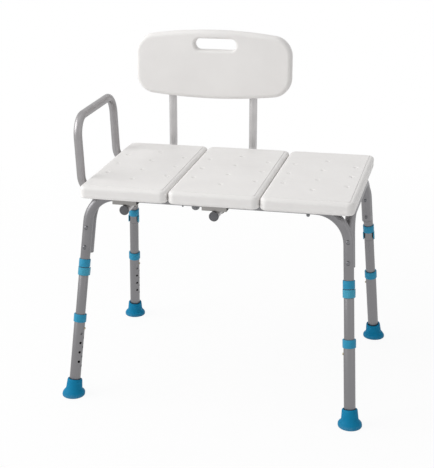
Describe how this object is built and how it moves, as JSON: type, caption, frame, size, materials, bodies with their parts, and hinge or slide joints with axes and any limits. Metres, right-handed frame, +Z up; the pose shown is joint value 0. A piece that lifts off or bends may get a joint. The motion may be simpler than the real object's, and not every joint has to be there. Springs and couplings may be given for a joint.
{
  "type": "tub transfer bench",
  "caption": "Bath transfer bench: moulded seat panels on a bent-tube frame with telescoping splayed legs, clip-on leg sections, a slotted backrest on two tubes and a hand loop at one end.",
  "frame": {"origin": "on the floor, under the centre of the three-panel seat", "axes": "+X along the seat from the hand loop towards the free end, +Y from the sitter's front edge towards the backrest, +Z up"},
  "size_m": [0.7812, 0.6206, 0.874],
  "materials": {
    "white_plastic": "satin moulded plastic with a fine grain",
    "frame_aluminium": "satin anodised tube",
    "blue_plastic": "moulded collar",
    "clip_plastic": "moulded clip",
    "foot_rubber": "non-slip rubber",
    "dark_plastic": "tube end plug",
    "knob_plastic": "hand knob and cap nuts",
    "screw_steel": "plated screw",
    "button_brass": "snap button and leaf spring"
  },
  "bodies": {
    "frame": {"seat_panel_left": "white_plastic", "seat_panel_middle": "white_plastic", "seat_panel_right": "white_plastic", "rail_front": "frame_aluminium", "rail_rear": "frame_aluminium", "side_tube_left": "frame_aluminium", "side_tube_right": "frame_aluminium", "corner_screw_upper_front_left": "screw_steel", "corner_screw_lower_front_left": "screw_steel", "frame_collar_front_left": "blue_plastic", "middle_tube_front_left": "frame_aluminium", "corner_screw_upper_front_right": "screw_steel", "corner_screw_lower_front_right": "screw_steel", "frame_collar_front_right": "blue_plastic", "middle_tube_front_right": "frame_aluminium", "corner_screw_upper_rear_left": "screw_steel", "corner_screw_lower_rear_left": "screw_steel", "frame_collar_rear_left": "blue_plastic", "middle_tube_rear_left": "frame_aluminium", "corner_screw_upper_rear_right": "screw_steel", "corner_screw_lower_rear_right": "screw_steel", "frame_collar_rear_right": "blue_plastic", "middle_tube_rear_right": "frame_aluminium", "cap_nut_front": "knob_plastic", "cap_nut_rear": "knob_plastic", "panel_screw_front": "screw_steel", "panel_screw_rear": "screw_steel", "saddle_front_left": "frame_aluminium", "saddle_front_middle": "frame_aluminium", "saddle_rear_left": "frame_aluminium", "saddle_rear_middle": "frame_aluminium", "arm_strap_front": "frame_aluminium", "arm_strap_rear": "frame_aluminium"},
    "lower_leg_front_left": {"lower_tube_front_left": "frame_aluminium", "leg_collar_front_left": "blue_plastic", "foot_front_left": "foot_rubber"},
    "button_front_left": {"snap_button_front_left": "button_brass"},
    "clip_front_left": {"lock_clip_front_left": "clip_plastic"},
    "lower_leg_front_right": {"lower_tube_front_right": "frame_aluminium", "leg_collar_front_right": "blue_plastic", "foot_front_right": "foot_rubber"},
    "button_front_right": {"snap_button_front_right": "button_brass"},
    "clip_front_right": {"lock_clip_front_right": "clip_plastic"},
    "lower_leg_rear_left": {"lower_tube_rear_left": "frame_aluminium", "leg_collar_rear_left": "blue_plastic", "foot_rear_left": "foot_rubber"},
    "button_rear_left": {"snap_button_rear_left": "button_brass"},
    "clip_rear_left": {"lock_clip_rear_left": "clip_plastic"},
    "lower_leg_rear_right": {"lower_tube_rear_right": "frame_aluminium", "leg_collar_rear_right": "blue_plastic", "foot_rear_right": "foot_rubber"},
    "button_rear_right": {"snap_button_rear_right": "button_brass"},
    "clip_rear_right": {"lock_clip_rear_right": "clip_plastic"},
    "backrest": {"back_tube_left": "frame_aluminium", "back_tube_right": "frame_aluminium", "back_tube_plug_left": "dark_plastic", "back_tube_plug_right": "dark_plastic", "back_panel": "white_plastic"},
    "arm": {"arm_loop": "frame_aluminium"},
    "knob": {"hand_knob": "knob_plastic"}
  },
  "joints": [
    {"name": "lower_leg_front_left_slide", "type": "slide", "parent": "frame", "child": "lower_leg_front_left", "axis": [0.0655, 0.175, 0.9824], "range_m": [0, 0.1016], "deforming": ["snap_button_front_left"]},
    {"name": "button_front_left_press", "type": "slide", "parent": "frame", "child": "button_front_left", "axis": [-0.9979, 0.0115, 0.0645], "range_m": [0, 0.0044], "stiffness_N_per_m": 1500, "springref_m": -0.001},
    {"name": "clip_front_left_pull", "type": "slide", "parent": "frame", "child": "clip_front_left", "axis": [0, -0.9845, 0.1753], "range_m": [0, 0.03]},
    {"name": "lower_leg_front_right_slide", "type": "slide", "parent": "frame", "child": "lower_leg_front_right", "axis": [-0.0655, 0.175, 0.9824], "range_m": [0, 0.1016], "deforming": ["snap_button_front_right"]},
    {"name": "button_front_right_press", "type": "slide", "parent": "frame", "child": "button_front_right", "axis": [0.9979, 0.0115, 0.0645], "range_m": [0, 0.0044], "stiffness_N_per_m": 1500, "springref_m": -0.001},
    {"name": "clip_front_right_pull", "type": "slide", "parent": "frame", "child": "clip_front_right", "axis": [0, -0.9845, 0.1753], "range_m": [0, 0.03]},
    {"name": "lower_leg_rear_left_slide", "type": "slide", "parent": "frame", "child": "lower_leg_rear_left", "axis": [0.0655, -0.175, 0.9824], "range_m": [0, 0.1016], "deforming": ["snap_button_rear_left"]},
    {"name": "button_rear_left_press", "type": "slide", "parent": "frame", "child": "button_rear_left", "axis": [-0.9979, -0.0115, 0.0645], "range_m": [0, 0.0044], "stiffness_N_per_m": 1500, "springref_m": -0.001},
    {"name": "clip_rear_left_pull", "type": "slide", "parent": "frame", "child": "clip_rear_left", "axis": [0, 0.9845, 0.1753], "range_m": [0, 0.03]},
    {"name": "lower_leg_rear_right_slide", "type": "slide", "parent": "frame", "child": "lower_leg_rear_right", "axis": [-0.0655, -0.175, 0.9824], "range_m": [0, 0.1016], "deforming": ["snap_button_rear_right"]},
    {"name": "button_rear_right_press", "type": "slide", "parent": "frame", "child": "button_rear_right", "axis": [0.9979, -0.0115, 0.0645], "range_m": [0, 0.0044], "stiffness_N_per_m": 1500, "springref_m": -0.001},
    {"name": "clip_rear_right_pull", "type": "slide", "parent": "frame", "child": "clip_rear_right", "axis": [0, 0.9845, 0.1753], "range_m": [0, 0.03]},
    {"name": "backrest_slide", "type": "slide", "parent": "frame", "child": "backrest", "axis": [0, 1, 0], "range_m": [0, 0.3]},
    {"name": "arm_slide", "type": "slide", "parent": "frame", "child": "arm", "axis": [-1, 0, 0], "range_m": [0, 0.06]},
    {"name": "knob_turn", "type": "hinge", "parent": "frame", "child": "knob", "pos_m": [-0.0649, -0.1308, 0.5008], "axis": [0, 0, 1], "continuous": true}
  ]
}
